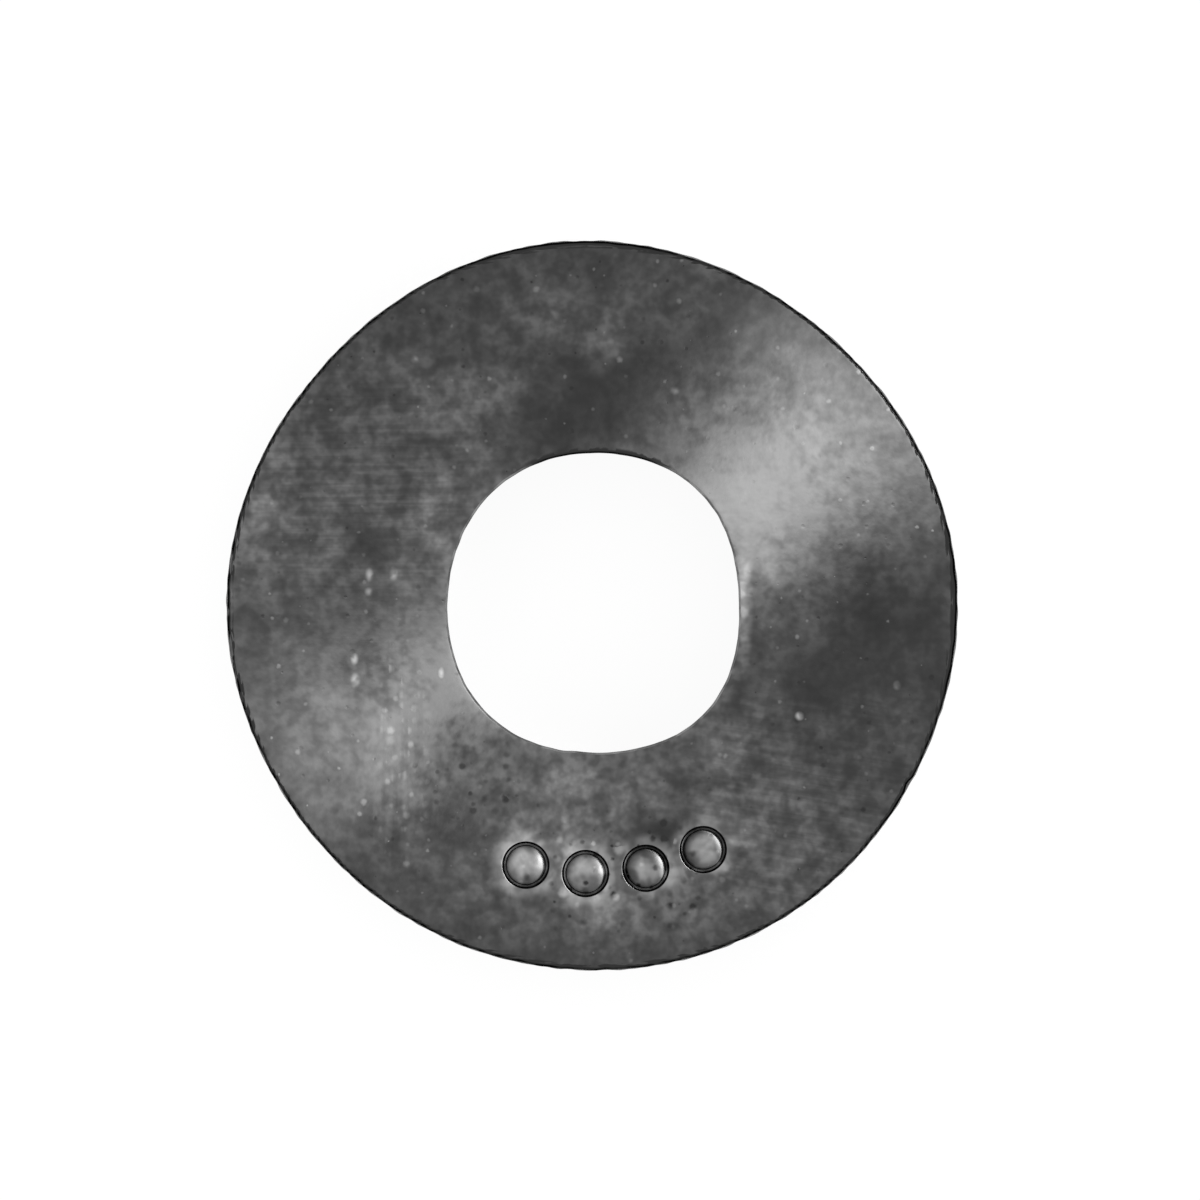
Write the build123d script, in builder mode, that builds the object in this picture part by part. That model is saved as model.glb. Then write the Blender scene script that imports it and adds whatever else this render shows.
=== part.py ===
from build123d import *

import math
import os

# A flat rubber washer, moulded as one ring. It lies on its plain underside, with +Z up and the origin in
# the middle of that underside. The rim has a little draft each way from a fine parting ridge at half
# height. The hole is a round bore, set slightly off centre, whose wall leans in near the upper face to a
# mouth that isn't quite round. Four plain round pips are sunk in the upper face beside the rim, so that
# the face still seals flat.

# The ring
OUTER_DIAMETER = 19.05
THICKNESS = 3.18
BORE_DIAMETER = 7.94
EDGE_RADIUS = 0.08

# The rim's moulded wall
RIM_DRAFT_DEGREES = 0.5
RIDGE_WIDTH = 0.16
RIDGE_HEIGHT = 0.03

# The hole's place, and its uneven mouth
HOLE_SHIFT_X = 0.05
HOLE_SHIFT_Y = 0.09
MOUTH_DEPTH = 0.9
MOUTH_INSET = 0.04
MOUTH_EDGE_RADIUS = 0.08
MOUTH_POINTS = 24

# How far the mouth's outline swings either side of its mean radius, and the angle of one high place:
# oval with two lobes in a turn, egg-shaped with three, squarish with four
MOUTH_OVAL_SWING = 0.053
MOUTH_OVAL_ANGLE = 90.0
MOUTH_EGG_SWING = 0.037
MOUTH_EGG_ANGLE = -43.0
MOUTH_SQUARE_SWING = 0.069
MOUTH_SQUARE_ANGLE = 45.0

# The sunk pips: each a low dome with a steep side, in a narrow dish
PIP_COUNT = 4
PIP_DIAMETER = 1.0
PIP_DROP = 0.02
PIP_DOME_RISE = 0.12
PIP_SIDE_RUN = 0.02
PIP_GROOVE_WIDTH = 0.05
PIP_WALL_RUN = 0.04
PIP_DISH_DEPTH = 0.2
PIP_DISH_GAP = 0.36
PIP_RIM_DISTANCE = 2.56
PIP_ROW_ANGLE = -85.0

# How far a cutting shape reaches past the face that it opens
CUT_PAST = 1.0

outer_radius = OUTER_DIAMETER / 2
bore_radius = BORE_DIAMETER / 2
wall_radius = outer_radius - RIDGE_HEIGHT
face_radius = wall_radius - math.tan(math.radians(RIM_DRAFT_DEGREES)) * (THICKNESS - RIDGE_WIDTH) / 2
mouth_mean_radius = bore_radius - MOUTH_INSET
mouth_start = THICKNESS - MOUTH_DEPTH
pip_radius = PIP_DIAMETER / 2
pip_foot_radius = pip_radius + PIP_SIDE_RUN
dish_floor_radius = pip_foot_radius + PIP_GROOVE_WIDTH
dish_radius = dish_floor_radius + PIP_WALL_RUN
row_radius = outer_radius - PIP_RIM_DISTANCE
row_pitch_degrees = math.degrees((2 * dish_radius + PIP_DISH_GAP) / row_radius)
row_sweep = row_pitch_degrees * (PIP_COUNT - 1)


def mouth_point(degrees):
    """The point of the mouth's outline at this angle round the bore's axis."""
    oval = MOUTH_OVAL_SWING * math.cos(math.radians(2 * (degrees - MOUTH_OVAL_ANGLE)))
    egg = MOUTH_EGG_SWING * math.cos(math.radians(3 * (degrees - MOUTH_EGG_ANGLE)))
    square = MOUTH_SQUARE_SWING * math.cos(math.radians(4 * (degrees - MOUTH_SQUARE_ANGLE)))
    radius = mouth_mean_radius + oval + egg + square
    angle = math.radians(degrees)
    return (radius * math.cos(angle), radius * math.sin(angle))


# The blank: a disc whose rim runs out to the parting ridge
with BuildPart() as blank:
    with BuildSketch(Plane.XZ):
        with BuildLine():
            Polyline(
                (0, 0),
                (face_radius, 0),
                (wall_radius, (THICKNESS - RIDGE_WIDTH) / 2),
                (outer_radius, THICKNESS / 2),
                (wall_radius, (THICKNESS + RIDGE_WIDTH) / 2),
                (face_radius, THICKNESS),
                (0, THICKNESS),
                close=True,
            )
        make_face()
    revolve(axis=Axis.Z)
    rings = blank.edges().filter_by(GeomType.CIRCLE).group_by(Axis.Z)
    fillet(rings[0] + rings[-1], EDGE_RADIUS)

# The core that leaves the hole: a round pin whose top is drawn in to the uneven mouth
with BuildPart() as core:
    with BuildSketch(Plane.XY.offset(-CUT_PAST)):
        Circle(bore_radius)
    extrude(amount=CUT_PAST + mouth_start)
    with BuildSketch(Plane.XY.offset(mouth_start)):
        Circle(bore_radius)
    with BuildSketch(Plane.XY.offset(THICKNESS)) as mouth:
        with BuildLine():
            Spline(*[mouth_point(360 * n / MOUTH_POINTS) for n in range(MOUTH_POINTS)], periodic=True)
        make_face()
    loft()
    extrude(mouth.sketch, amount=CUT_PAST)

# The cutter for one pip: it clears the dish and leaves the low dome standing in it
with BuildPart() as pip_cutter:
    with BuildSketch(Plane.XZ):
        with BuildLine():
            Polyline(
                (0, -PIP_DROP),
                (0, CUT_PAST),
                (dish_radius, CUT_PAST),
                (dish_radius, 0),
                (dish_floor_radius, -PIP_DISH_DEPTH),
                (pip_foot_radius, -PIP_DISH_DEPTH),
                (pip_radius, -PIP_DROP - PIP_DOME_RISE),
            )
            TangentArc((0, -PIP_DROP), (pip_radius, -PIP_DROP - PIP_DOME_RISE), tangent=(1, 0))
        make_face()
    revolve(axis=Axis.Z)

# The washer: the blank less its hole and the dishes of its pips
with BuildPart() as washer:
    add(blank.part)
    with Locations((HOLE_SHIFT_X, HOLE_SHIFT_Y, 0)):
        add(core.part, mode=Mode.SUBTRACT)
    flat_faces = washer.faces().filter_by(Axis.Z).sort_by(Axis.Z)
    fillet(flat_faces[0].inner_wires()[0].edges(), EDGE_RADIUS)
    upper_face = washer.faces().filter_by(Axis.Z).sort_by(Axis.Z)[-1]
    fillet(upper_face.inner_wires()[0].edges(), MOUTH_EDGE_RADIUS)
    with Locations((0, 0, THICKNESS)):
        with PolarLocations(
            row_radius,
            PIP_COUNT,
            start_angle=PIP_ROW_ANGLE - row_sweep / 2,
            angular_range=row_sweep,
            endpoint=True,
        ):
            add(pip_cutter.part, mode=Mode.SUBTRACT)

washer.part.label = "washer"
os.makedirs("parts", exist_ok=True)
export_step(washer.part, "parts/washer.step")
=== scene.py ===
"""A moulded rubber washer on a pale studio floor, seen from straight above.

The washer is one piece. Its ring is spun from a rounded section, its sunk pips are cut into the upper
face, and its rim, its hole and its faces are then worn by small moves of the mesh. Sizes are in
millimetres and become metres where they meet Blender.
"""

import logging
import math
from dataclasses import dataclass
from enum import Enum

import bmesh
import bpy
from mathutils import Matrix, Vector, noise

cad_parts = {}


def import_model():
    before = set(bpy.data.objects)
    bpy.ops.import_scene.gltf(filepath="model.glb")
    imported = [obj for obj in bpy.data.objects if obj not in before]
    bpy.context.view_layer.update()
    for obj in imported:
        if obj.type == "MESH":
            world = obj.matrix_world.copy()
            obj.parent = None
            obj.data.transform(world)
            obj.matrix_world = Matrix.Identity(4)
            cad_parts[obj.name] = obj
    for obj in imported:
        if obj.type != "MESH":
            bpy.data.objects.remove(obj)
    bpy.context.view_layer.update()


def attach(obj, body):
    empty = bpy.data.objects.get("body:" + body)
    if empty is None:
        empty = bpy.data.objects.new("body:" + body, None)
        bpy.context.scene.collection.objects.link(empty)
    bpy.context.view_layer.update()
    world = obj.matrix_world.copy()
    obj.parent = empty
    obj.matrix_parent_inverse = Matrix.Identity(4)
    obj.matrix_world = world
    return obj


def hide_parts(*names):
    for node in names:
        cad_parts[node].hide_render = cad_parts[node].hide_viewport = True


MM = 0.001
MERGE_WITHIN = 1e-4
LOG = logging.getLogger("rubber_washer")

# Short names of types. A span is a pair of ends, mostly a value's where a mask is 0 and where it is 1
Tree = bpy.types.NodeTree
Socket = bpy.types.NodeSocket
SocketSet = bpy.types.bpy_prop_collection
Span = tuple[float, float]


class Sockets(Enum):
    """The socket kinds that the node groups use."""

    NUMBER = "NodeSocketFloat"
    VECTOR = "NodeSocketVector"


class Mark(Enum):
    """What each point of the ring keeps for the face's finish."""

    TO_RIM = "to_rim"
    TO_HOLE = "to_hole"
    # The painted highlight on the pips' crowns and their dishes' lips
    PIP_HIGHLIGHT = "rubbed"


def smooth_share(value: float, low: float, high: float) -> float:
    """How far a value is on its way from low to high, as a share from 0 to 1 with eased ends."""
    share = min(max((value - low) / (high - low), 0.0), 1.0)
    return share * share * (3.0 - 2.0 * share)


@dataclass(frozen=True)
class Swing:
    """One regular swing of an outline about its mean radius."""

    lobes: int
    reach: float
    high_angle: float

    def at(self, angle: float) -> float:
        """The swing in millimetres at an angle in radians."""
        return self.reach * math.cos(self.lobes * (angle - math.radians(self.high_angle)))


@dataclass(frozen=True)
class Outline:
    """A nearly round outline: its mean radius, how it strays from it, and where its centre is."""

    radius: float
    swings: tuple[Swing, ...]
    fray: float
    fray_length: float
    centre_x: float = 0.0
    centre_y: float = 0.0

    def stray(self, angle: float, height: float) -> float:
        """How far the outline strays outwards at an angle.

        Args:
            angle: The angle round the centre in radians.
            height: The height in millimetres, which the fine fray varies with.

        Returns:
            The stray in millimetres.
        """
        at = Vector((math.cos(angle), math.sin(angle), 0.0)) * (self.radius / self.fray_length)
        at.z = height / self.fray_length
        return sum(swing.at(angle) for swing in self.swings) + self.fray * noise.noise(at)


@dataclass(frozen=True)
class Nick:
    """A small dent in an edge or a face."""

    x: float
    y: float
    z: float
    radius: float
    depth: float


@dataclass(frozen=True)
class Zone:
    """A soft oval part of the face, and what it adds where it is fullest."""

    x: float
    y: float
    reach_x: float
    reach_y: float
    gain: float = 1.0
    turn: float = 0.0


@dataclass(frozen=True)
class Mottle:
    """A layer of clouds and grain, each in cells to a millimetre."""

    cloud_scale: float
    grain_scale: float


@dataclass(frozen=True)
class Specks:
    """A layer of specks: how dense and how large they are, and what they add."""

    cells: float
    share: float
    radius: float
    gain: float = 1.0


@dataclass(frozen=True)
class Streaks:
    """Fine streaks: how long and how wide one is, and which way they run in degrees."""

    length: float
    width: float
    turn: float = 0.0


# Where the painted shade lines round the rim and round the hole are at their heaviest: the rim's right and
# top, and the hole's upper side, where its lip is in shade
HEAVY_RIM = (
    Zone(9.5, -0.3, 3.2, 3.2, 1.5),
    Zone(-0.2, 9.5, 3.2, 3.2, 1.5),
    Zone(8.1, -5.0, 1.8, 1.8, 0.8),
    Zone(-2.3, 9.2, 1.7, 1.7, 0.7),
)
DARK_LIP = Zone(0.1, 4.2, 3.4, 1.8)


class NodeBench:
    """Short ways to add and wire nodes in one tree."""

    def __init__(self, tree: Tree) -> None:
        """Keeps the tree to work in."""
        self.tree = tree

    def add(
        self, kind: str, given: dict[object, object] | None = None, **settings: object
    ) -> bpy.types.Node:
        """Adds a node.

        Args:
            kind: Blender's name of the node type.
            given: What its inputs get, by name or place: sockets or plain values.
            settings: Properties to set on the node.

        Returns:
            The new node.
        """
        node = self.tree.nodes.new(kind)
        for name, value in settings.items():
            setattr(node, name, value)
        for name, value in (given or {}).items():
            self.feed(node.inputs[name], value)
        return node

    def feed(self, socket: Socket, value: object) -> None:
        """Links a socket's input, or sets it where the value is plain."""
        if isinstance(value, Socket):
            self.tree.links.new(value, socket)
        else:
            socket.default_value = value

    def math(self, operation: str, first: object, second: object = 0.0) -> Socket:
        """The result of a Math node's operation on one or two numbers."""
        return self.add("ShaderNodeMath", {0: first, 1: second}, operation=operation).outputs[0]

    def vector(self, operation: str, first: Socket, second: object = (0.0, 0.0, 0.0)) -> Socket:
        """The vector that a Vector Math node's operation gives."""
        return self.add("ShaderNodeVectorMath", {0: first, 1: second}, operation=operation).outputs["Vector"]

    def length(self, vector: Socket) -> Socket:
        """A vector's length."""
        return self.add("ShaderNodeVectorMath", {0: vector}, operation="LENGTH").outputs["Value"]

    def parts(self, vector: Socket) -> SocketSet:
        """A vector's X, Y and Z."""
        return self.add("ShaderNodeSeparateXYZ", {0: vector}).outputs

    def attribute(self, mark: Mark) -> Socket:
        """What the mesh's points keep under a mark."""
        return self.add("ShaderNodeAttribute", attribute_name=mark.value).outputs["Fac"]

    def ease(
        self,
        value: object,
        low: object = 0.0,
        high: object = 1.0,
        to_low: object = 0.0,
        to_high: object = 1.0,
    ) -> Socket:
        """Maps a value from low and high to to_low and to_high, with eased ends."""
        given = {"Value": value, "From Min": low, "From Max": high, "To Min": to_low, "To Max": to_high}
        return self.add("ShaderNodeMapRange", given, interpolation_type="SMOOTHSTEP").outputs["Result"]

    def fade(self, value: object, end: object, start: object = 0.0) -> Socket:
        """Maps a value to 1 at its start and 0 at its end, with eased ends."""
        return self.ease(value, start, end, to_low=1.0, to_high=0.0)

    def noise(
        self, vector: Socket, scale: object, detail: float, roughness: float, warp: float = 0.0
    ) -> Socket:
        """Soft noise about 0.5, with this many cells to a millimetre and finer layers, bent by its warp."""
        layers = {"Detail": detail, "Roughness": roughness, "Distortion": warp}
        return self.add("ShaderNodeTexNoise", {"Vector": vector, "Scale": scale, **layers}).outputs["Fac"]

    def place(self, vector: Socket, turn: Socket, scale: Socket, centre: object = (0.0, 0.0, 0.0)) -> Socket:
        """A position in a texture's frame, which is centred, turned and scaled."""
        given = {"Vector": vector, "Location": centre, "Rotation": turn, "Scale": scale}
        return self.add("ShaderNodeMapping", given, vector_type="TEXTURE").outputs["Vector"]


class EffectGroups:
    """The node groups that the washer's finishes share, each built once."""

    def __init__(self) -> None:
        """Builds every group."""
        self.cloud = self._cloud()
        self.specks = self._specks()
        self.streaks = self._streaks()
        self.patch = self._patch()
        self.steps = self._steps()

    @staticmethod
    def _open(
        name: str, inputs: dict[str, object], *outputs: str
    ) -> tuple[NodeBench, SocketSet, SocketSet]:
        """Starts a group.

        Args:
            name: The group's name.
            inputs: Each input's default: a number, a vector, or None for a vector that is always fed.
            outputs: The names of the numbers that it puts out.

        Returns:
            The bench in the group, what it is given, and what it has to feed.
        """
        tree = bpy.data.node_groups.new(name, "ShaderNodeTree")
        for label, default in inputs.items():
            kind = Sockets.NUMBER if isinstance(default, float) else Sockets.VECTOR
            socket = tree.interface.new_socket(label, in_out="INPUT", socket_type=kind.value)
            if default is not None:
                socket.default_value = default
        for label in outputs:
            tree.interface.new_socket(label, in_out="OUTPUT", socket_type=Sockets.NUMBER.value)
        bench = NodeBench(tree)
        return bench, bench.add("NodeGroupInput").outputs, bench.add("NodeGroupOutput").inputs

    def _cloud(self) -> Tree:
        """Soft clouds and a fine grain, for the mottled rubber.

        Returns:
            The group.
        """
        bench, given, result = self._open(
            "Mottled Cloud",
            {"Position": None, "Cloud Scale": 0.6, "Grain Scale": 9.0},
            "Cloud",
            "Grain",
        )
        cloud = bench.noise(given["Position"], given["Cloud Scale"], detail=2.0, roughness=0.5, warp=0.25)
        grain = bench.noise(given["Position"], given["Grain Scale"], detail=1.0, roughness=0.45)
        bench.feed(result["Cloud"], bench.ease(cloud, low=0.22, high=0.78))
        bench.feed(result["Grain"], bench.ease(grain, low=0.2, high=0.8))
        return bench.tree

    def _specks(self) -> Tree:
        """Scattered specks of uneven size, strength and outline.

        Returns:
            The group.
        """
        bench, given, result = self._open(
            "Scattered Specks",
            {"Position": None, "Cells": 1.5, "Share": 0.3, "Radius": 0.06},
            "Mask",
        )
        bend_scale, bend_reach, least_size = 11.0, 0.06, 0.35
        bend = bench.add("ShaderNodeTexNoise", {"Vector": given["Position"], "Scale": bend_scale})
        nudge = bench.vector("SUBTRACT", bend.outputs["Color"], (0.5, 0.5, 0.5))
        nudge = bench.vector("MULTIPLY", nudge, (bend_reach,) * 3)
        laid = {"Vector": bench.vector("ADD", given["Position"], nudge), "Scale": given["Cells"]}
        cells = bench.add("ShaderNodeTexVoronoi", laid, voronoi_dimensions="2D").outputs
        chance = bench.add("ShaderNodeSeparateColor", {0: cells["Color"]}).outputs
        away = bench.math("DIVIDE", cells["Distance"], given["Cells"])
        size = bench.math("MULTIPLY", given["Radius"], bench.math("ADD", chance["Green"], least_size))
        near = bench.fade(bench.math("DIVIDE", away, size), 1.0, start=0.2)
        kept = bench.math("LESS_THAN", chance["Red"], given["Share"])
        strength = bench.ease(chance["Blue"], to_low=0.35)
        bench.feed(result["Mask"], bench.math("MULTIPLY", bench.math("MULTIPLY", near, kept), strength))
        return bench.tree

    def _streaks(self) -> Tree:
        """Fine streaks along one direction.

        Returns:
            The group.
        """
        bench, given, result = self._open(
            "Fine Streaks",
            {"Position": None, "Turn": None, "Grain": (1.6, 0.07, 1.0)},
            "Mask",
        )
        laid = bench.place(given["Position"], given["Turn"], given["Grain"])
        line = bench.noise(laid, scale=1.0, detail=2.0, roughness=0.5)
        bench.feed(result["Mask"], bench.ease(line, low=0.3, high=0.7))
        return bench.tree

    def _patch(self) -> Tree:
        """A soft oval patch: 1 in its middle and 0 outside it.

        Returns:
            The group.
        """
        bench, given, result = self._open(
            "Soft Patch",
            {"Position": None, "Centre": None, "Turn": None, "Reach": (1.0, 1.0, 1.0)},
            "Mask",
        )
        laid = bench.place(given["Position"], given["Turn"], given["Reach"], given["Centre"])
        bench.feed(result["Mask"], bench.fade(bench.length(laid), 1.0))
        return bench.tree

    def _steps(self) -> Tree:
        """Dashes that break up the painted shade line along the rim: narrow bands square to the two axes.

        Returns:
            The group.
        """
        bench, given, result = self._open(
            "Edge Shade Dashes",
            {"Position": None, "Step": 0.131, "Outermost": 9.5},
            "Mask",
            "Length",
        )
        unevenness = 1.3
        sides = bench.parts(bench.vector("ABSOLUTE", given["Position"]))
        out = bench.math("MAXIMUM", sides["X"], sides["Y"])
        steps = bench.math("DIVIDE", bench.math("SUBTRACT", out, given["Outermost"]), given["Step"])
        wave = bench.math("COSINE", bench.math("MULTIPLY", steps, math.tau))
        uneven = bench.noise(given["Position"], scale=2.2, detail=2.0, roughness=0.6)
        uneven = bench.ease(uneven, low=0.25, high=0.75, to_low=-unevenness, to_high=unevenness)
        bench.feed(result["Mask"], bench.ease(bench.math("ADD", wave, uneven), low=-0.3, high=0.5))
        aslant = bench.math("DIVIDE", bench.math("MINIMUM", sides["X"], sides["Y"]), out)
        bench.feed(result["Length"], bench.ease(aslant, low=0.1, high=0.7, to_low=1.0, to_high=0.3))
        return bench.tree


class Finish:
    """What the washer's finishes have in common: a grey shader fed by effects in millimetres."""

    # How far a patch reaches up and down, past the whole ring, and the mask at which it counts as full
    PATCH_DEPTH = 50.0
    PATCH_FULL = 0.6

    def __init__(self, name: str, groups: EffectGroups) -> None:
        """Starts a material.

        Args:
            name: The material's name.
            groups: The shared effect groups.
        """
        self.groups = groups
        self.material = bpy.data.materials.new(name)
        self.material.use_nodes = True
        self.bench = NodeBench(self.material.node_tree)
        self.shader = self.material.node_tree.nodes["Principled BSDF"]
        in_metres = self.bench.add("ShaderNodeTexCoord").outputs["Object"]
        self.position = self.bench.vector("MULTIPLY", in_metres, (1.0 / MM,) * 3)
        self.flat = self.bench.vector("MULTIPLY", self.position, (1.0, 1.0, 0.0))

    def from_axis(self) -> Socket:
        """The distance to the washer's axis in millimetres."""
        return self.bench.length(self.flat)

    def rolled_out(self) -> Socket:
        """The position on a wall as if it were rolled out flat.

        Returns:
            A vector of how far round it is, and how high.
        """
        at = self.bench.parts(self.position)
        angle = self.bench.math("ARCTAN2", at["Y"], at["X"])
        along = self.bench.math("MULTIPLY", angle, self.from_axis())
        return self.bench.add("ShaderNodeCombineXYZ", {"X": along, "Y": at["Z"]}).outputs[0]

    def place(self, tree: Tree, **given: object) -> SocketSet:
        """What an effect group puts out, placed at the finish's position unless another is given."""
        return self.bench.add("ShaderNodeGroup", {"Position": self.position, **given}, node_tree=tree).outputs

    def mottle(self, layer: Mottle) -> SocketSet:
        """A layer's Cloud and Grain."""
        scales = {"Cloud Scale": layer.cloud_scale, "Grain Scale": layer.grain_scale}
        return self.place(self.groups.cloud, **scales)

    def speckle(self, layer: Specks, **given: object) -> Socket:
        """A layer's specks, at the position unless another is given."""
        sizes = {"Cells": layer.cells, "Share": layer.share, "Radius": layer.radius}
        return self.place(self.groups.specks, **sizes, **given)["Mask"]

    def streaks(self, lines: Streaks) -> Socket:
        """Where fine streaks are pale."""
        turn, grain = (0.0, 0.0, math.radians(lines.turn)), (lines.length, lines.width, 1.0)
        return self.place(self.groups.streaks, Turn=turn, Grain=grain)["Mask"]

    def patch(self, zone: Zone) -> Socket:
        """A zone's mask, which is 1 in its middle and 0 outside it."""
        turn, reach = (0.0, 0.0, math.radians(zone.turn)), (zone.reach_x, zone.reach_y, self.PATCH_DEPTH)
        return self.place(self.groups.patch, Centre=(zone.x, zone.y, 0.0), Turn=turn, Reach=reach)["Mask"]

    def steps(self) -> SocketSet:
        """Where the rim's painted shade line is broken into dark dashes, and how far they reach into the
        face.
        """
        return self.place(self.groups.steps, Position=self.flat)

    def heavy_rim(self) -> Socket:
        """Where the rim's painted shade line is at its heaviest."""
        return self.bench.ease(self.zoned(0.0, HEAVY_RIM))

    def within(self, mask: Socket, zone: Zone) -> Socket:
        """A mask, kept inside a zone."""
        return self.bench.math("MULTIPLY", mask, self.patch(zone))

    def scaled(self, tone: object, mask: Socket, low: float, high: float) -> Socket:
        """Multiplies a tone by a factor that goes from low to high with a mask."""
        return self.bench.math("MULTIPLY", tone, self.bench.ease(mask, to_low=low, to_high=high))

    def added(self, tone: object, mask: Socket, gain: object) -> Socket:
        """Adds a gain to a tone where a mask is 1."""
        return self.bench.math("ADD", tone, self.bench.math("MULTIPLY", mask, gain))

    def zoned(self, tone: object, zones: tuple[Zone, ...]) -> Socket:
        """Adds to a tone what each zone adds."""
        for zone in zones:
            tone = self.added(tone, self.patch(zone), zone.gain)
        return tone

    def colour(self, tone: Socket) -> None:
        """Feeds a grey tone to the shader's colour."""
        grey = self.bench.add("ShaderNodeCombineColor", {"Red": tone, "Green": tone, "Blue": tone})
        self.bench.feed(self.shader.inputs["Base Color"], grey.outputs[0])

    def relief(self, height: Socket, depth: float) -> None:
        """Feeds a height to the shader's normal, where a height of 1 stands for this depth in millimetres."""
        bump = self.bench.add("ShaderNodeBump", {"Strength": 1.0, "Distance": depth * MM, "Height": height})
        self.bench.feed(self.shader.inputs["Normal"], bump.outputs[0])

    def gloss(self, roughness: Socket, specular: float) -> None:
        """Feeds the shader's roughness, and sets how strong its reflection is."""
        self.bench.feed(self.shader.inputs["Roughness"], roughness)
        self.bench.feed(self.shader.inputs["Specular IOR Level"], specular)


@dataclass(frozen=True)
class FaceFinish:
    """The washer's faces: dull black rubber, mottled and lightly scuffed, with a painted sheen, painted
    highlights and painted dark lines of edge shade.
    """

    name: str = "rubber_face"
    grey: float = 0.040
    darkest: float = 0.004

    # The mottle: a broad and a small layer, and what each does to the tone
    broad: Mottle = Mottle(0.6, 3.8)
    small: Mottle = Mottle(1.5, 10.0)
    broad_cloud: Span = (0.75, 1.25)
    broad_grain: Span = (0.72, 1.32)
    small_cloud: Span = (0.52, 1.52)
    small_grain: Span = (0.94, 1.06)

    # The gloss, from the hole to the rim
    hole_to_rim: Span = (3.6, 9.8)
    roughness: Span = (0.56, 0.33)
    sway: Span = (0.15, 0.03)
    cloud_sway: float = 0.012
    speck_dullness: float = 0.25
    edge_dullness: float = 0.3
    anisotropy: float = 0.8
    grain_centre: tuple[float, float] = (-0.2, 0.33)
    specular: float = 0.42

    # The painted shade lines along the rounded rim and the hole: how wide in millimetres, how even and how
    # dark
    edge_line: float = 0.1
    faintest_line: float = 0.002
    heavy_line: float = 0.045
    mouth_line: float = 0.085
    mouth_waver: Span = (0.3, 1.5)
    line_core: float = 0.3
    line_dark: float = 0.03

    # The hole's pale lip and the pips' pale crowns and lips: painted highlights
    lip_reach: float = 0.35
    lip_gain: float = 0.06
    pip_highlight_gain: float = 0.27

    # The relief, and the shares of it that the specks, the pits, the brushing and the scuff have
    relief_depth: float = 0.0011
    small_relief: float = 0.5
    reliefs: tuple[float, ...] = (1.0, -2.0, -0.5, 0.5)

    # The streaks: the brushed upper left, the slanted lower right, and the scuff with its beads and trail
    brushing: Streaks = Streaks(2.6, 0.14)
    brushing_zone: Zone = Zone(-6.0, 2.6, 6.5, 7.5)
    brushed: Span = (1.12, 0.74)
    slant: Streaks = Streaks(2.2, 0.15, -9.0)
    slant_zone: Zone = Zone(6.0, -5.0, 6.5, 6.5)
    slanted: Span = (0.95, 1.4)
    scuff: Streaks = Streaks(5.0, 0.3, 90.0)
    scuff_beads: Specks = Specks(3.2, 0.85, 0.14)
    scuff_zone: Zone = Zone(-5.05, -3.5, 1.1, 4.4, 0.4)
    trail_zone: Zone = Zone(-5.05, -3.5, 0.8, 4.4, 0.06)

    # The specks: pale and dark specks near the pips, dust all over, and pits with a crowd of them in one zone
    pip_flecks: tuple[Specks, ...] = (Specks(1.9, 0.6, 0.15, 0.45), Specks(2.7, 0.5, 0.12, -0.3))
    pip_fleck_zone: Zone = Zone(0.5, -6.95, 4.2, 2.0)
    dust: tuple[Specks, ...] = (Specks(1.3, 0.45, 0.065, 0.09), Specks(0.6, 0.45, 0.09, 0.14))
    pits: Specks = Specks(1.7, 0.35, 0.075, -0.05)
    crowd: Specks = Specks(3.4, 0.6, 0.11, -0.07)
    crowded: Zone = Zone(-3.0, -4.6, 3.2, 2.3, turn=-30.0)
    crowd_dullness: float = 0.75

    # Where the face is paler or darker than the rest: uneven tone all over, and painted sheen and a painted
    # lip highlight in the pale zones by the hole's right side
    zones: tuple[Zone, ...] = (
        Zone(0.0, -5.9, 5.6, 3.0, 0.085),
        Zone(0.6, -7.9, 5.5, 2.2, 0.04),
        Zone(-6.0, 2.6, 4.6, 5.5, 0.055),
        Zone(7.3, -0.4, 3.0, 3.2, -0.036),
        Zone(-3.4, 5.5, 2.7, 1.8, 0.057, 20.0),
        Zone(4.7, -6.2, 3.4, 2.6, 0.05),
        Zone(0.7, 5.7, 4.6, 1.7, -0.05, 31.0),
        Zone(4.5, 2.1, 2.2, 1.2, 0.06, 115.0),
        Zone(3.95, 0.3, 0.3, 2.4, 0.26),
        Zone(-3.8, 2.8, 2.5, 1.1, 0.08, 58.0),
        Zone(-6.1, -0.9, 2.0, 2.3, -0.06),
        Zone(-4.1, -2.9, 1.5, 2.0, -0.045, -30.0),
        Zone(-0.7, -4.6, 1.8, 0.8, 0.08),
        Zone(3.6, -3.6, 1.8, 1.0, 0.065, 45.0),
        Zone(5.9, -2.0, 1.7, 1.4, -0.045),
        Zone(-8.7, 2.6, 1.5, 3.6, 0.085, -15.0),
        Zone(0.5, 6.8, 1.2, 0.9, 0.07, 30.0),
        Zone(-1.1, 7.7, 2.6, 0.9, 0.055),
        Zone(4.5, 0.9, 1.0, 1.8, 0.1),
        Zone(-4.3, 1.1, 0.9, 1.4, 0.05),
        Zone(-1.4, -6.4, 1.3, 1.2, 0.11),
        Zone(-3.6, -5.7, 1.3, 1.1, -0.1),
        Zone(-5.8, 1.6, 1.1, 1.0, -0.1),
        Zone(1.7, -6.1, 1.9, 1.2, -0.11),
        Zone(0.6, -8.1, 2.2, 1.0, 0.04),
    )

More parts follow.
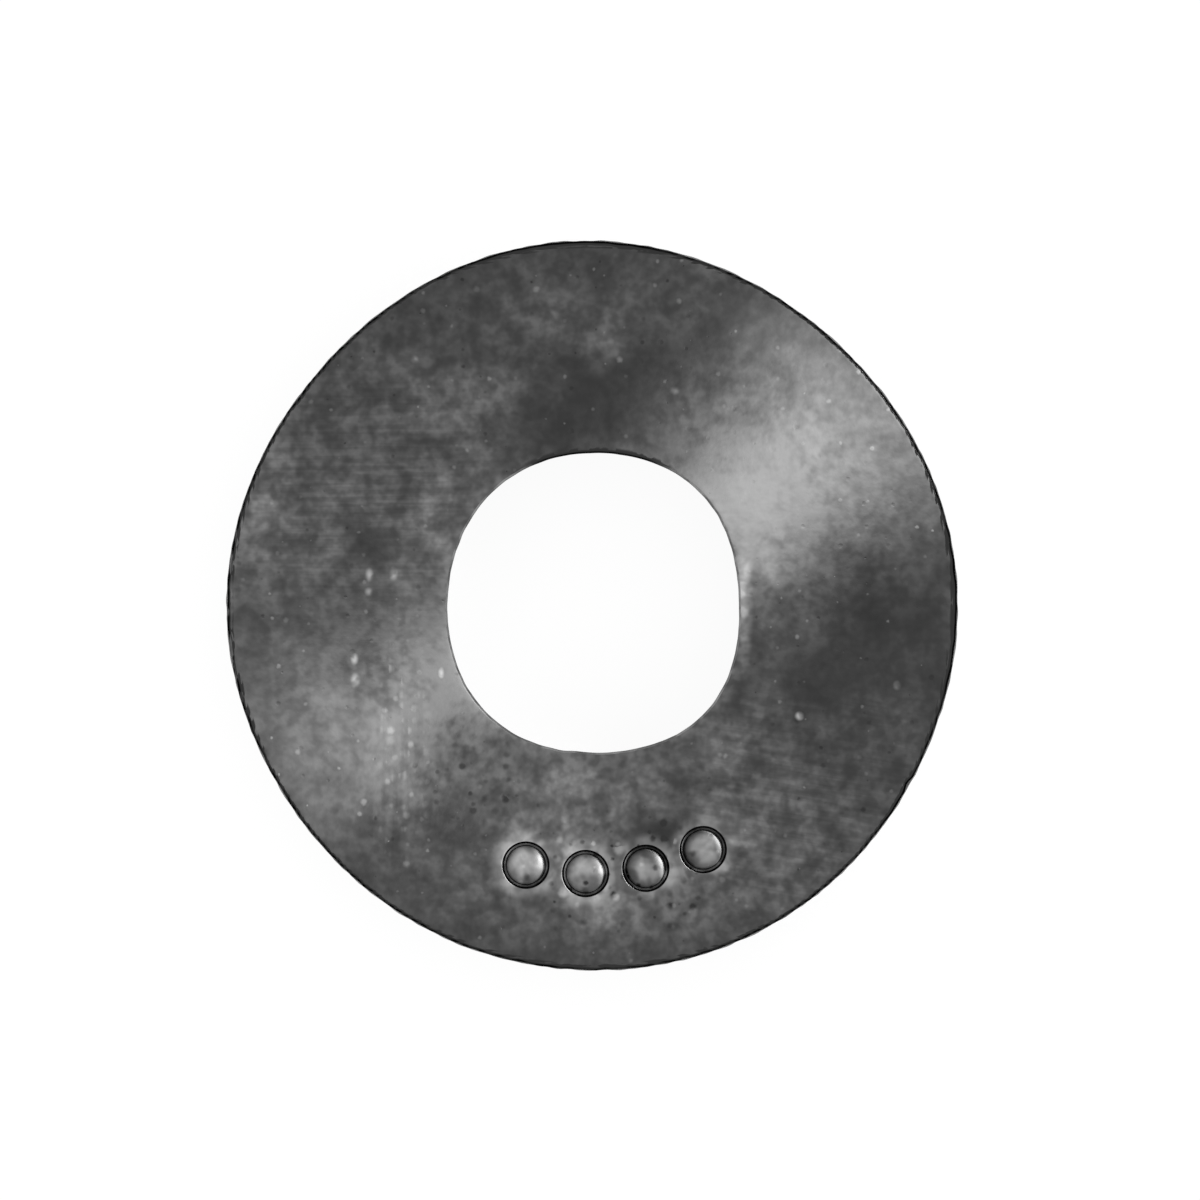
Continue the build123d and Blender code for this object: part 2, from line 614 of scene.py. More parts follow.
    # Where a smooth painted sheen lies over the mottle, pale on the lamp's side as the sheen is
    painted_sheen: tuple[Zone, ...] = (
        Zone(5.3, 6.5, 3.0, 1.6, 0.095, -38.0),
        Zone(2.3, 6.9, 0.7, 0.5, 0.02, 40.0),
    )

    # Where handling has polished the face
    polish: tuple[Zone, ...] = (
        Zone(7.4, 0.2, 3.2, 2.6, -0.12),
        Zone(-3.3, -3.9, 1.9, 1.9, -0.16),
        Zone(-5.2, -1.9, 2.0, 1.6, -0.16),
        Zone(-6.3, 0.4, 2.2, 1.8, -0.04),
        Zone(-5.3, -6.4, 2.6, 2.2, -0.1, 45.0),
    )

    # Pale crumbs that cling to the face
    crumbs: tuple[Zone, ...] = (
        Zone(-6.22, -1.36, 0.13, 0.2, 0.55),
        Zone(-6.20, -1.92, 0.16, 0.25, 0.5),
        Zone(-3.95, -1.72, 0.1, 0.17, 1.2),
        Zone(-5.83, 0.84, 0.14, 0.23, 0.34),
        Zone(-5.20, 0.86, 0.15, 0.23, 0.34),
        Zone(-5.85, 0.40, 0.14, 0.14, 0.25),
        Zone(5.40, -2.85, 0.15, 0.15, 0.55),
        Zone(7.95, -2.05, 0.14, 0.16, 0.17),
        Zone(-4.65, 6.46, 0.14, 0.14, 0.17),
        Zone(2.15, 5.65, 0.18, 0.14, 0.17),
    )

    def fill(self, finish: Finish) -> None:
        """Feeds the finish's shader.

        Args:
            finish: The bare finish.
        """
        bench = finish.bench
        broad, small = finish.mottle(self.broad), finish.mottle(self.small)
        brushed = finish.within(finish.streaks(self.brushing), self.brushing_zone)
        slanted = finish.within(finish.streaks(self.slant), self.slant_zone)
        line = bench.ease(finish.streaks(self.scuff), low=0.15, high=0.85)
        beads = bench.math("MULTIPLY", finish.speckle(self.scuff_beads), line)
        scuff = finish.within(beads, self.scuff_zone)
        dust = [finish.speckle(layer) for layer in self.dust]
        specks = bench.math("MAXIMUM", *dust)
        pits = finish.speckle(self.pits)
        crowd = finish.within(finish.speckle(self.crowd), self.crowded)
        shaded = bench.ease(finish.patch(DARK_LIP), high=finish.PATCH_FULL)
        edge = self._edge(finish, broad["Grain"], shaded)

        tone = finish.zoned(finish.scaled(self.grey, broad["Cloud"], *self.broad_cloud), self.zones)
        tone = bench.math("MAXIMUM", tone, self.darkest)
        for mask, span in (
            (small["Cloud"], self.small_cloud),
            (broad["Grain"], self.broad_grain),
            (small["Grain"], self.small_grain),
            (brushed, self.brushed),
            (slanted, self.slanted),
        ):
            tone = finish.scaled(tone, mask, *span)
        tone = finish.added(tone, scuff, self.scuff_zone.gain)
        tone = finish.added(tone, finish.within(line, self.trail_zone), self.trail_zone.gain)
        # Painted sheen over the mottle
        tone = finish.zoned(tone, self.painted_sheen)
        ragged = bench.ease(broad["Grain"], low=0.2, high=0.7, to_low=0.5, to_high=1.2)
        tone = finish.added(tone, finish.zoned(0.0, self.crumbs), ragged)
        for layer in self.pip_flecks:
            tone = finish.added(tone, finish.within(finish.speckle(layer), self.pip_fleck_zone), layer.gain)
        for layer, mask in zip((*self.dust, self.pits, self.crowd), (*dust, pits, crowd)):
            tone = finish.added(tone, mask, layer.gain)
        # Painted highlight on the pips' crowns and their dishes' lips
        patchy = bench.ease(small["Cloud"], low=0.1, high=0.9, to_low=0.2, to_high=1.2)
        rubbed = bench.math("MULTIPLY", bench.attribute(Mark.PIP_HIGHLIGHT), patchy)
        tone = finish.added(tone, rubbed, self.pip_highlight_gain)
        # The hole's lip is painted pale as a highlight, except on its shaded side
        lip = bench.fade(bench.attribute(Mark.TO_HOLE), self.lip_reach)
        lip = bench.math("MULTIPLY", lip, bench.math("SUBTRACT", 1.0, shaded))
        broken = bench.ease(broad["Grain"], low=0.1, high=0.9, to_low=0.5, to_high=1.3)
        tone = finish.added(tone, bench.math("MULTIPLY", lip, broken), self.lip_gain)
        # Painted shade: the tone darkens along the rounded rim and the shaded side of the hole's lip
        tone = finish.scaled(tone, edge, 1.0, self.line_dark)
        finish.colour(bench.math("MAXIMUM", tone, 0.0))

        matt, sway = (
            bench.ease(finish.from_axis(), *self.hole_to_rim, *ends) for ends in (self.roughness, self.sway)
        )
        cloudy = bench.ease(broad["Cloud"], to_low=self.cloud_sway, to_high=-self.cloud_sway)
        uneven = bench.math("SUBTRACT", bench.math("ADD", small["Cloud"], broad["Grain"]), 1.0)
        uneven = finish.added(cloudy, uneven, sway)
        matt = finish.zoned(bench.math("ADD", matt, uneven), self.polish)
        matt = finish.added(matt, specks, self.speck_dullness)
        matt = finish.scaled(matt, crowd, 1.0, self.crowd_dullness)
        finish.gloss(finish.scaled(matt, edge, 1.0, self.edge_dullness), self.specular)
        across = bench.vector("SUBTRACT", finish.flat, (*self.grain_centre, 0.0))
        bench.feed(finish.shader.inputs["Tangent"], across)
        bench.feed(finish.shader.inputs["Anisotropic"], self.anisotropy)

        height = finish.added(broad["Grain"], small["Grain"], self.small_relief)
        for mask, share in zip((specks, pits, brushed, scuff), self.reliefs):
            height = finish.added(height, mask, share)
        finish.relief(height, self.relief_depth)

    def _edge(self, finish: Finish, grain: Socket, shaded: Socket) -> Socket:
        """The painted dark lines of shade along the rim and along the shaded side of the hole.

        Args:
            finish: The finish in work.
            grain: The grain that the hole's line wavers with.
            shaded: Where the hole has such a line.

        Returns:
            The lines' mask.
        """
        bench = finish.bench
        steps = finish.steps()
        reach = bench.math("MULTIPLY", steps["Mask"], steps["Length"])
        reach = bench.ease(reach, to_low=self.faintest_line, to_high=self.edge_line)
        reach = finish.added(reach, finish.heavy_rim(), self.heavy_line)
        core = bench.math("MULTIPLY", reach, self.line_core)
        rim = bench.fade(bench.attribute(Mark.TO_RIM), reach, start=core)
        thinnest, widest = (share * self.mouth_line for share in self.mouth_waver)
        waver = bench.ease(grain, low=0.35, high=0.65, to_low=thinnest, to_high=widest)
        mouth = bench.fade(bench.attribute(Mark.TO_HOLE), waver)
        return bench.math("MAXIMUM", rim, bench.math("MULTIPLY", mouth, shaded))


@dataclass(frozen=True)
class WallFinish:
    """The rim's and the hole's walls, as the mould left them: even dull rubber."""

    name: str = "rubber_wall"
    grey: float = 0.030
    mottle: Mottle = Mottle(0.9, 5.5)
    cloud: Span = (0.6, 1.5)
    grain: Span = (0.75, 1.25)
    ring_length: float = 4.0
    ring_width: float = 0.09
    rings: Span = (0.8, 1.25)
    dust: Specks = Specks(1.3, 0.4, 0.07, 0.12)
    roughness: Span = (0.70, 0.54)
    specular: float = 0.15
    relief_depth: float = 0.004
    cloud_relief: float = 1.5
    ring_relief: float = 0.8

    def fill(self, finish: Finish) -> None:
        """Feeds the finish's shader.

        Args:
            finish: The bare finish.
        """
        mottle = finish.mottle(self.mottle)
        ring_size = (self.ring_length, self.ring_length, self.ring_width)
        rings = finish.place(finish.groups.streaks, Grain=ring_size)["Mask"]
        tone = finish.scaled(self.grey, mottle["Cloud"], *self.cloud)
        tone = finish.scaled(tone, mottle["Grain"], *self.grain)
        tone = finish.scaled(tone, rings, *self.rings)
        dust = finish.speckle(self.dust, Position=finish.rolled_out())
        finish.colour(finish.added(tone, dust, self.dust.gain))
        finish.gloss(finish.bench.ease(mottle["Cloud"], 0.0, 1.0, *self.roughness), self.specular)
        height = finish.added(mottle["Grain"], mottle["Cloud"], self.cloud_relief)
        finish.relief(finish.added(height, rings, self.ring_relief), self.relief_depth)


@dataclass(frozen=True)
class EdgeFinish:
    """The rounded edges and the grooves round the pips: near black and without gloss, as painted shade, but
    for the hole's lip, which is pale as a painted highlight.
    """

    name: str = "rubber_edge"
    # Near black: painted shade in the rounded edges and the pips' grooves
    grey: float = 0.004
    # The hole's lip: pale as a painted highlight, and dark as painted shade on its shaded side
    lip_radius: float = 4.8
    lip_grey: float = 0.28
    dark_lip_grey: float = 0.0112
    rim_radius: float = 9.0
    # Between the painted shade dashes the rim is dark grey, paler on its left side
    gap_grey: float = 0.03
    pale_gap_zone: Zone = Zone(-9.5, 0.0, 3.4, 3.4, 0.12)
    heavy_full: float = 0.7
    blend: float = 0.2
    mottle: Mottle = Mottle(3.0, 5.0)
    cloud: Span = (0.6, 1.4)
    roughness: Span = (0.9, 0.8)
    specular: float = 0.0
    relief_depth: float = 0.01

    def fill(self, finish: Finish) -> None:
        """Feeds the finish's shader.

        Args:
            finish: The bare finish.
        """
        bench, full = finish.bench, finish.PATCH_FULL
        mottle = finish.mottle(self.mottle)
        distance = finish.from_axis()
        lip = bench.ease(finish.patch(DARK_LIP), 0.0, full, self.lip_grey, self.dark_lip_grey)
        # The rim's painted shade: dark dashes, dark grey between them, and near black where it is heaviest
        gaps = bench.ease(finish.patch(self.pale_gap_zone), 0.0, full, self.gap_grey, self.pale_gap_zone.gain)
        stepped = bench.ease(finish.steps()["Mask"], to_low=gaps, to_high=self.grey)
        rim = bench.ease(finish.heavy_rim(), 0.0, self.heavy_full, stepped, self.grey)
        tone = bench.ease(distance, self.rim_radius, self.rim_radius + self.blend, self.grey, rim)
        tone = bench.ease(distance, self.lip_radius, self.lip_radius + self.blend, lip, tone)
        finish.colour(finish.scaled(tone, mottle["Cloud"], *self.cloud))
        finish.gloss(bench.ease(mottle["Grain"], 0.0, 1.0, *self.roughness), self.specular)
        finish.relief(mottle["Grain"], self.relief_depth)


@dataclass(frozen=True)
class SunkPips:
    """The row of plain round pips sunk in the upper face, each a low dome in a narrow dish."""

    count: int = 4
    diameter: float = 1.0
    drop: float = 0.02
    dome_rise: float = 0.12
    side_run: float = 0.02
    groove_width: float = 0.05
    dish_depth: float = 0.2
    wall_run: float = 0.04
    dish_gap: float = 0.36
    row_radius: float = 6.965
    row_angle: float = -85.0

    # The dish's rounded lip, and how far the cutter reaches over the face
    lip_radius: float = 0.03
    lip_rise: float = 0.08
    reach_past: float = 0.6

    # How wide the painted highlight on the lip and crown is, and how far past its walls a groove is taken
    lip_band: float = 0.38
    crown_share: float = 0.4
    groove_margin: float = 0.01

    # How finely the cutter is divided
    lip_steps: int = 5
    arc_steps: int = 10
    turns: int = 64

    def cutter(self, upper_face: float) -> bpy.types.Object:
        """Makes the shape that cuts the row into the face.

        Args:
            upper_face: The height of the face in millimetres.

        Returns:
            A closed mesh object with one turned shape for each pip.
        """
        bm = bmesh.new()
        radius = self.diameter / 2
        side_radius = radius + self.side_run
        dish_radius = self.dish_radius()
        dome_radius = (radius**2 + self.dome_rise**2) / (2 * self.dome_rise)
        start = bm.verts.new((0, 0, -self.drop))
        arc = bmesh.ops.spin(
            bm,
            geom=[start],
            cent=(0, 0, -self.drop - dome_radius),
            axis=(0, 1, 0),
            angle=math.asin(radius / dome_radius),
            steps=self.arc_steps,
        )
        last = arc["geom_last"][0]
        outline = [
            bm.verts.new((distance, 0, height))
            for distance, height in (
                (side_radius, -self.dish_depth),
                (side_radius + self.groove_width, -self.dish_depth),
                (dish_radius, 0),
                (dish_radius + self.reach_past, self.lip_rise),
                (dish_radius + self.reach_past, self.reach_past),
                (0, self.reach_past),
            )
        ]
        for first, second in zip([last, *outline], outline):
            bm.edges.new((first, second))
        lip = outline[2:3]
        round_off(bm, lip, self.lip_radius, self.lip_steps)
        turn_round(bm, math.tau, self.turns)
        bmesh.ops.remove_doubles(bm, verts=bm.verts, dist=MERGE_WITHIN)
        points, rest = list(bm.verts), list(bm.edges) + list(bm.faces)
        first_place, *places = (Vector((x, y, upper_face)) for x, y in self.centres())
        for place in places:
            bmesh.ops.translate(bm, verts=copied(bm, points + rest), vec=place)
        bmesh.ops.translate(bm, verts=points, vec=first_place)
        bmesh.ops.recalc_face_normals(bm, faces=bm.faces)
        return link_mesh(bm, "pip_cutter")

    def dish_radius(self) -> float:
        """The radius of a dish at the face in millimetres."""
        return self.diameter / 2 + self.side_run + self.groove_width + self.wall_run

    def centres(self) -> list[tuple[float, float]]:
        """The pips' middles in millimetres."""
        pitch = (2 * self.dish_radius() + self.dish_gap) / self.row_radius
        middle = math.radians(self.row_angle)
        angles = [middle + pitch * (place - (self.count - 1) / 2) for place in range(self.count)]
        return [(self.row_radius * math.cos(angle), self.row_radius * math.sin(angle)) for angle in angles]

    def from_centre(self, x: float, y: float) -> float:
        """A point's distance to the middle of the nearest pip in millimetres."""
        return min(math.hypot(x - centre_x, y - centre_y) for centre_x, centre_y in self.centres())

    def in_groove(self, x: float, y: float) -> bool:
        """Whether a point of the upper face is in a groove round a pip."""
        inner, outer = self.diameter / 2 - self.groove_margin, self.dish_radius() + self.groove_margin
        return inner < self.from_centre(x, y) < outer

    def rubbed(self, x: float, y: float) -> float:
        """How much painted highlight a point of the upper face gets, on the pips' crowns and their dishes'
        lips.

        Args:
            x: The point's x in millimetres.
            y: The point's y in millimetres.

        Returns:
            A share from 0 to 1.
        """
        away, radius, dish_radius = self.from_centre(x, y), self.diameter / 2, self.dish_radius()
        crown = 1.0 - smooth_share(away, self.crown_share * radius, radius)
        lip = smooth_share(away, dish_radius - self.lip_radius, dish_radius)
        return max(crown, lip * (1.0 - smooth_share(away, dish_radius, dish_radius + self.lip_band)))


def round_off(bm: bmesh.types.BMesh, points: list[bmesh.types.BMVert], radius: float, steps: int) -> None:
    """Rounds the corners that a section has at these points."""
    bmesh.ops.bevel(
        bm, geom=points, offset=radius, segments=steps, profile=0.5, affect="VERTICES", material=-1
    )


def turn_round(bm: bmesh.types.BMesh, angle: float, steps: int) -> None:
    """Turns a section round the upright axis, and joins its ends where it goes the whole way."""
    bmesh.ops.spin(
        bm,
        geom=list(bm.verts) + list(bm.edges),
        cent=(0, 0, 0),
        axis=(0, 0, 1),
        angle=angle,
        steps=steps,
        use_merge=angle == math.tau,
    )


def copied(bm: bmesh.types.BMesh, geom: list[object]) -> list[bmesh.types.BMVert]:
    """Copies some of a bmesh, and gives the copy's points."""
    copy = bmesh.ops.duplicate(bm, geom=geom)
    return [item for item in copy["geom"] if isinstance(item, bmesh.types.BMVert)]


def link_mesh(bm: bmesh.types.BMesh, name: str) -> bpy.types.Object:
    """Turns a bmesh into an object in the scene.

    Args:
        bm: The bmesh in millimetres, which is freed.
        name: The object's and the mesh's name.

    Returns:
        The new object.
    """
    bmesh.ops.scale(bm, verts=bm.verts, vec=(MM, MM, MM))
    mesh = bpy.data.meshes.new(name)
    bm.to_mesh(mesh)
    bm.free()
    piece = bpy.data.objects.new(name, mesh)
    bpy.context.scene.collection.objects.link(piece)
    return piece


class RingPart(Enum):
    """The parts of the ring that have a finish each, in the order of their material slots."""

    FACE = 0
    WALL = 1
    EDGE = 2


@dataclass
class WasherRing:
    """The moulded ring: its section, its pips and the wear on it."""

    # The section
    thickness: float = 3.18
    bore_radius: float = 3.97
    outer_radius: float = 9.525
    ridge_height: float = 0.03
    ridge_width: float = 0.16
    rim_draft: float = 0.013
    edge_radius: float = 0.08
    mouth_depth: float = 0.9

    # How finely it is divided
    turns: int = 576
    doublings: int = 4
    face_rings: int = 72
    under_rings: int = 12
    wall_rings: int = 6
    corner_steps: int = 5

    # The worn outlines, and how far from them their stray is full and where it has faded out
    hole: Outline = Outline(
        radius=3.925,
        swings=(
            Swing(2, 0.053, 89.7),
            Swing(3, 0.037, -42.7),
            Swing(4, 0.069, -44.6),
            Swing(5, 0.011, 33.8),
        ),
        fray=0.012,
        fray_length=0.35,
        centre_x=0.051,
        centre_y=0.074,
    )
    rim: Outline = Outline(
        radius=9.525,
        swings=(
            Swing(2, 0.031, -44.2),
            Swing(3, 0.016, -33.6),
            Swing(4, 0.046, 3.9),
            Swing(5, 0.023, 22.8),
            Swing(6, 0.008, 0.0),
        ),
        fray=0.026,
        fray_length=0.3,
    )
    full_stray: float = 0.1
    hole_fade: float = 1.4
    rim_fade: float = 1.2

    # The worn face: its swell, which sinks it by a share, its ripple and its nicks
    swell: float = 0.012
    swell_sink: float = 0.5
    swell_length: float = 2.6
    ripple: float = 0.004
    ripple_length: float = 0.7
    nicks: tuple[Nick, ...] = (
        Nick(8.26, -4.62, 3.12, 0.26, 0.11),
        Nick(-8.6, -3.9, 3.1, 0.22, 0.05),
        Nick(-0.35, -3.98, 3.1, 0.5, 0.04),
    )
    pips: SunkPips = SunkPips()

    # Which facets are edges: how far past the rounding they reach, and how far their normals stand up
    mouth_band: float = 0.12
    wall_upright: float = 0.25
    face_upright: float = 0.93
    rim_upright: float = 0.1

    def build(self) -> bpy.types.Object:
        """Makes the ring's mesh.

        Returns:
            The washer's object.
        """
        ring = self._spin()
        self._cut(ring)
        self._mark(ring.data)
        self._share_out(ring.data)
        self._wear(ring.data)
        return ring

    def _spin(self) -> bpy.types.Object:
        """Spins the rounded section into a ring.

        Returns:
            The plain ring.
        """
        bm = bmesh.new()
        wall = self.outer_radius - self.ridge_height
        face = wall - self.rim_draft
        middle = self.thickness / 2
        points = (
            (self.bore_radius, 0.0),
            (face, 0.0),
            (wall, middle - self.ridge_width / 2),
            (self.outer_radius, middle),
            (wall, middle + self.ridge_width / 2),
            (face, self.thickness),
            (self.hole.radius, self.thickness),
            (self.bore_radius, self.thickness - self.mouth_depth),
        )
        section = [bm.verts.new((radius, 0.0, height)) for radius, height in points]
        bm.faces.new(section)
        round_off(bm, section[0:2] + section[5:7], self.edge_radius, self.corner_steps)
        bmesh.ops.delete(bm, geom=list(bm.faces), context="FACES_ONLY")
        for edge in list(bm.edges):
            first, second = (vert.co for vert in edge.verts)
            if edge.calc_length() < 2 * self.edge_radius:
                continue
            rings = self.wall_rings
            if abs(first.z - second.z) < MERGE_WITHIN:
                rings = self.face_rings if first.z > middle else self.under_rings
            bmesh.ops.subdivide_edges(bm, edges=[edge], cuts=rings - 1)
        angle = math.tau / 2**self.doublings
        turn_round(bm, angle, self.turns // 2**self.doublings)
        for _ in range(self.doublings):
            moved = copied(bm, list(bm.verts) + list(bm.edges) + list(bm.faces))
            bmesh.ops.rotate(bm, verts=moved, cent=(0, 0, 0), matrix=Matrix.Rotation(angle, 3, "Z"))
            angle *= 2
        bmesh.ops.remove_doubles(bm, verts=bm.verts, dist=MERGE_WITHIN)
        bmesh.ops.recalc_face_normals(bm, faces=bm.faces)
        return link_mesh(bm, "washer_ring")

    def _cut(self, ring: bpy.types.Object) -> None:
        """Cuts the sunk pips into the ring."""
        cutter = self.pips.cutter(self.thickness)
        cut = ring.modifiers.new("pips", "BOOLEAN")
        cut.operation = "DIFFERENCE"
        cut.solver = "EXACT"
        cut.object = cutter
        bpy.context.view_layer.update()
        plain = ring.data
        after = ring.evaluated_get(bpy.context.evaluated_depsgraph_get())
        ring.data = bpy.data.meshes.new_from_object(after)
        ring.modifiers.clear()
        bpy.data.meshes.remove(plain)
        bpy.data.objects.remove(cutter)
        ring.data.name = "washer_ring"
        ring.data.materials.clear()

    def _mark(self, mesh: bpy.types.Mesh) -> None:
        """Keeps each point's distance to the rim and the hole, and how much painted highlight it gets by the
        pips.
        """
        to_rim, to_hole, rubbed = (mesh.attributes.new(mark.value, "FLOAT", "POINT") for mark in Mark)
        outer = self.outer_radius - self.ridge_height - self.rim_draft - self.edge_radius
        inner = self.hole.radius + self.edge_radius
        for place, vert in enumerate(mesh.vertices):
            x, y, z = (value / MM for value in vert.co)
            distance = math.hypot(x, y)
            to_rim.data[place].value = max(outer - distance, 0.0)
            to_hole.data[place].value = max(distance - inner, 0.0)
            rubbed.data[place].value = self.pips.rubbed(x, y) if z > self.thickness / 2 else 0.0

    def _share_out(self, mesh: bpy.types.Mesh) -> None:
        """Gives each facet to the part of the ring that it lies on before the wear."""
        for face in mesh.polygons:
            face.material_index = self._part_of(face.center / MM, abs(face.normal.z)).value
            face.use_smooth = True

    def _wear(self, mesh: bpy.types.Mesh) -> None:
        """Moves the mesh to the uneven outlines, and swells and nicks it as handling has."""
        for vert in mesh.vertices:
            vert.co = self._worn(*(value / MM for value in vert.co)) * MM
        for nick in self.nicks:
            self._press(mesh, nick)
        mesh.update()

    def _worn(self, x: float, y: float, z: float) -> Vector:
        """Moves a point sideways by the outlines' stray, and then up or down by the swell.

        Args:
            x: The point's x in millimetres.
            y: The point's y in millimetres.
            z: The point's height in millimetres.

        Returns:
            The moved point, which the swell leaves where it is on the underside.
        """
        distance, angle = math.hypot(x, y), math.atan2(y, x)
        rim, bore = self.outer_radius, self.bore_radius
        at_rim = smooth_share(distance, rim - self.rim_fade, rim - self.full_stray)
        at_hole = 1.0 - smooth_share(distance, bore + self.full_stray, bore + self.hole_fade)
        push = at_rim * self.rim.stray(angle, z) + at_hole * self.hole.stray(angle, z)
        grown = (distance + push) / distance
        x = x * grown + at_hole * self.hole.centre_x
        y = y * grown + at_hole * self.hole.centre_y
        swell = self.swell * noise.noise(Vector((x, y, z)) / self.swell_length)
        ripple = self.ripple * noise.noise(Vector((x, y, z)) / self.ripple_length)
        lift = swell + ripple - self.swell * self.swell_sink
        return Vector((x, y, z + lift * smooth_share(z, 0.0, self.thickness)))

    @staticmethod
    def _press(mesh: bpy.types.Mesh, nick: Nick) -> None:
        """Presses one nick into the mesh."""
        at = Vector((nick.x, nick.y, nick.z))
        inwards = Vector((-nick.x, -nick.y, -abs(nick.x) - abs(nick.y))).normalized()
        for vert in mesh.vertices:
            share = 1.0 - smooth_share((vert.co / MM - at).length, 0.0, nick.radius)
            if share > 0.0:
                vert.co += inwards * (nick.depth * share * MM)

    def dress(self, ring: bpy.types.Object, groups: EffectGroups) -> None:
        """Gives the ring its finishes, and the same shading over its small and large facets.

        Args:
            ring: The washer's object.
            groups: The shared effect groups.
        """
        for design in (FaceFinish(), WallFinish(), EdgeFinish()):
            finish = Finish(design.name, groups)
            design.fill(finish)
            ring.data.materials.append(finish.material)
        weights = ring.modifiers.new("even_normals", "WEIGHTED_NORMAL")
        weights.keep_sharp = True
        weights.weight = 50

    def _part_of(self, at: Vector, upright: float) -> RingPart:
        """Which part of the ring a facet belongs to.

        Args:
            at: The facet's middle in millimetres.
            upright: How far its normal stands up, from 0 on a wall to 1 on a face.

        Returns:
            The part.
        """
        distance = math.hypot(at.x, at.y)
        band = 2 * self.edge_radius + self.mouth_band
        by_rim, by_hole = distance > self.outer_radius - band, distance < self.bore_radius + band
        at_corner = (by_rim or by_hole) and min(at.z, self.thickness - at.z) < band
        steepest = self.rim_upright if by_rim else self.wall_upright
        # Rounded edges take the near-black finish: painted shade
        if at_corner and steepest < upright < self.face_upright:
            return RingPart.EDGE
        # The grooves round the pips take the near-black finish: painted shade in the recesses
        in_groove = at.z > self.thickness / 2 and self.pips.in_groove(at.x, at.y)
        if in_groove and upright < self.face_upright:
            return RingPart.EDGE
        return RingPart.WALL if upright < self.wall_upright else RingPart.FACE


@dataclass(frozen=True)
class Lamp:
    """A soft square lamp aimed at the washer, which only its gloss shows."""

    name: str
    azimuth: float
    elevation: float
    distance: float
    size: float
    watts: float

    def build(self) -> None:
        """Places the lamp, out of sight and out of the plain light."""
        light = bpy.data.lights.new(self.name, "AREA")
        light.shape = "SQUARE"
        light.size = self.size * MM
        light.energy = self.watts
        lamp = bpy.data.objects.new(self.name, light)
        azimuth, elevation = math.radians(self.azimuth), math.radians(self.elevation)
        level = math.cos(elevation)
        way = Vector((math.cos(azimuth) * level, math.sin(azimuth) * level, math.sin(elevation)))
        lamp.location = way * (self.distance * MM)
        lamp.rotation_euler = way.to_track_quat("Z", "Y").to_euler()
        lamp.visible_camera = False
        lamp.visible_diffuse = False
        bpy.context.scene.collection.objects.link(lamp)


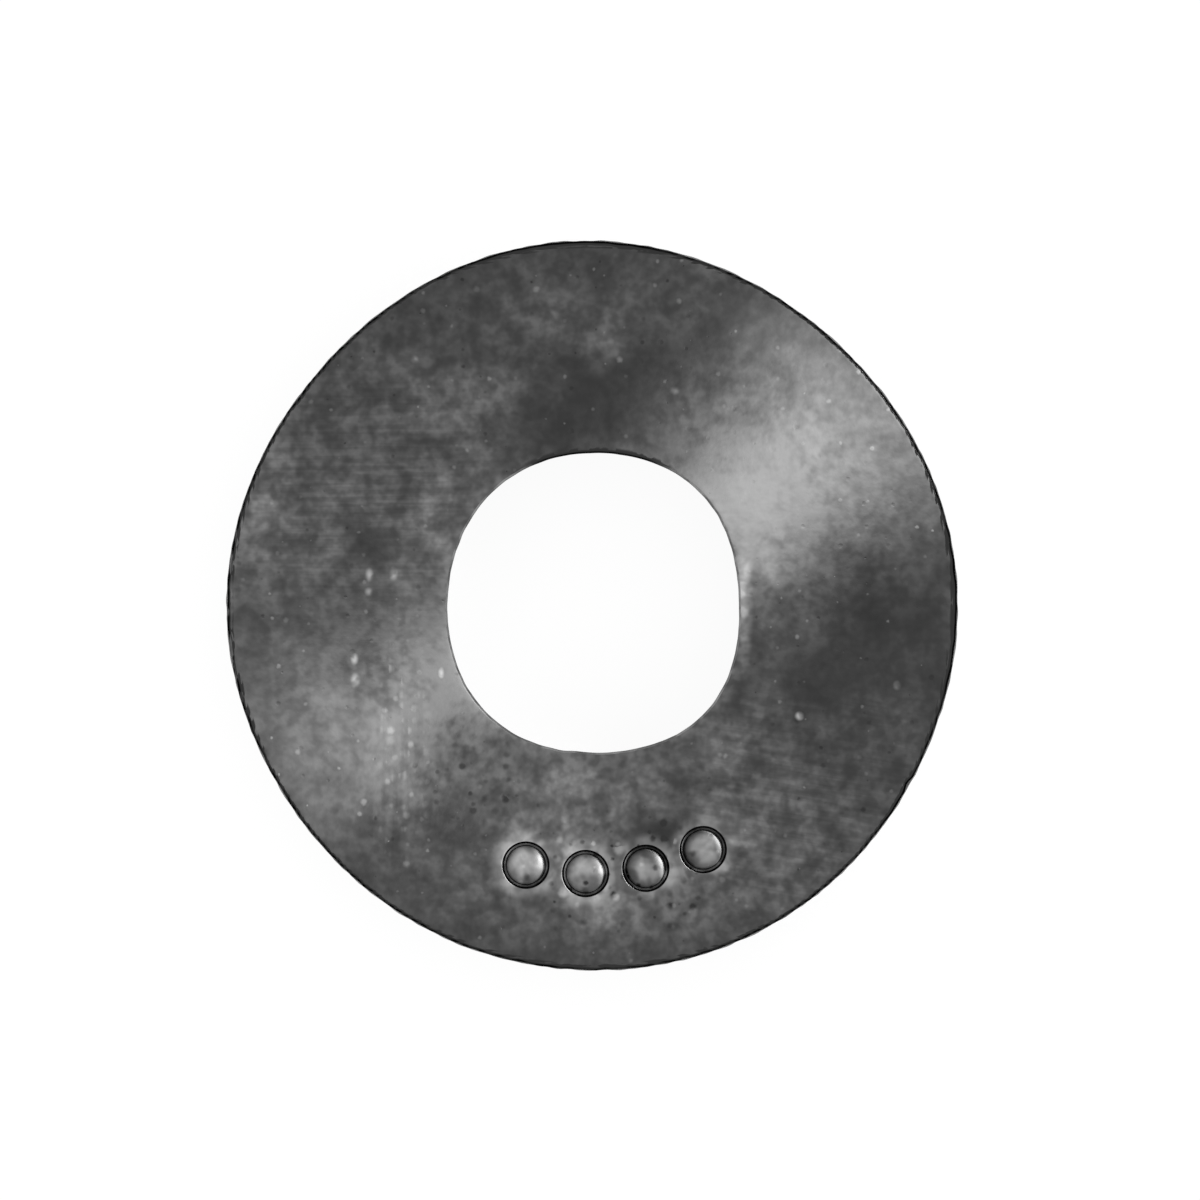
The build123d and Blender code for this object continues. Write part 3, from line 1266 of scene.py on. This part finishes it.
@dataclass(frozen=True)
class Studio:
    """The floor, the light and the camera."""

    floor_half: float = 600.0
    floor_seen: float = 0.92
    floor_lit: float = 0.16
    floor_grey: float = 0.9
    world_level: float = 0.7
    lens: float = 600.0
    sensor: float = 36.0
    clip: Span = (0.01, 2.0)
    frame_pixels: float = 1200.0
    rim_pixels: float = 363.84
    centre_pixels: tuple[float, float] = (592.61, 606.93)
    seen_radius: float = 9.503
    seen_height: float = 3.12
    lamps: tuple[Lamp, ...] = (
        Lamp("sheen_lamp", azimuth=32.0, elevation=34.0, distance=85.0, size=31.0, watts=0.7),
    )

    def build(self) -> None:
        """Builds all of it."""
        self._floor()
        self._world()
        self._camera()
        for lamp in self.lamps:
            lamp.build()

    @staticmethod
    def _seen_plainly(bench: NodeBench) -> Socket:
        """A mask that is 1 for rays from the camera, from gloss and through glass.

        Args:
            bench: The bench in the material's or the world's tree.

        Returns:
            The mask's socket.
        """
        path = bench.add("ShaderNodeLightPath")
        seen = bench.math("MAXIMUM", path.outputs["Is Camera Ray"], path.outputs["Is Glossy Ray"])
        return bench.math("MAXIMUM", seen, path.outputs["Is Transmission Ray"])

    def _floor(self) -> None:
        """Lays the pale floor, which shows white and keeps a soft shadow."""
        bm = bmesh.new()
        bmesh.ops.create_grid(bm, x_segments=1, y_segments=1, size=self.floor_half)
        floor = link_mesh(bm, "studio_floor")
        material = bpy.data.materials.new("pale_floor")
        material.use_nodes = True
        tree = material.node_tree
        tree.nodes.remove(tree.nodes["Principled BSDF"])
        bench = NodeBench(tree)
        plain, faint = (
            bench.add("ShaderNodeBsdfDiffuse", {"Color": (grey, grey, grey, 1.0)}).outputs[0]
            for grey in (self.floor_grey, self.floor_lit)
        )
        glow = bench.add("ShaderNodeEmission", {"Strength": self.floor_seen}).outputs[0]
        both = bench.add("ShaderNodeAddShader", {0: faint, 1: glow}).outputs[0]
        mix = bench.add("ShaderNodeMixShader", {0: self._seen_plainly(bench), 1: plain, 2: both})
        bench.feed(tree.nodes["Material Output"].inputs["Surface"], mix.outputs[0])
        floor.data.materials.append(material)

    def _world(self) -> None:
        """Sets the even studio light, with a white ground behind the floor."""
        world = bpy.data.worlds.new("studio")
        world.use_nodes = True
        bpy.context.scene.world = world
        bench = NodeBench(world.node_tree)
        ground = world.node_tree.nodes["Background"]
        bench.feed(ground.inputs["Color"], (1.0, 1.0, 1.0, 1.0))
        strength = bench.ease(self._seen_plainly(bench), to_low=self.world_level)
        bench.feed(ground.inputs["Strength"], strength)

    def _camera(self) -> None:
        """Hangs the camera over the washer so that the rim fills its place in the frame."""
        data = bpy.data.cameras.new("camera")
        data.lens = self.lens
        data.sensor_width = self.sensor
        data.clip_start, data.clip_end = self.clip
        scale = self.seen_radius / self.rim_pixels
        above = scale * self.frame_pixels * self.lens / self.sensor
        camera = bpy.data.objects.new("camera", data)
        middle, (seen_x, seen_y) = self.frame_pixels / 2, self.centre_pixels
        at = Vector(((middle - seen_x) * scale, (seen_y - middle) * scale, self.seen_height + above))
        camera.location = at * MM
        bpy.context.scene.collection.objects.link(camera)
        bpy.context.scene.camera = camera


def main() -> None:
    """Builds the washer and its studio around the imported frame."""
    logging.basicConfig(level=logging.INFO, format="%(name)s: %(message)s")
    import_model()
    bpy.context.scene.view_settings.view_transform = "Standard"

    groups = EffectGroups()
    washer = WasherRing()
    ring = washer.build()
    washer.dress(ring, groups)
    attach(ring, "root")
    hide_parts("washer")
    LOG.info("%s: %d faces", ring.name, len(ring.data.polygons))

    Studio().build()
    LOG.info("studio: floor, world, lamps and camera")

    bpy.context.view_layer.update()


if __name__ == "__main__":
    main()
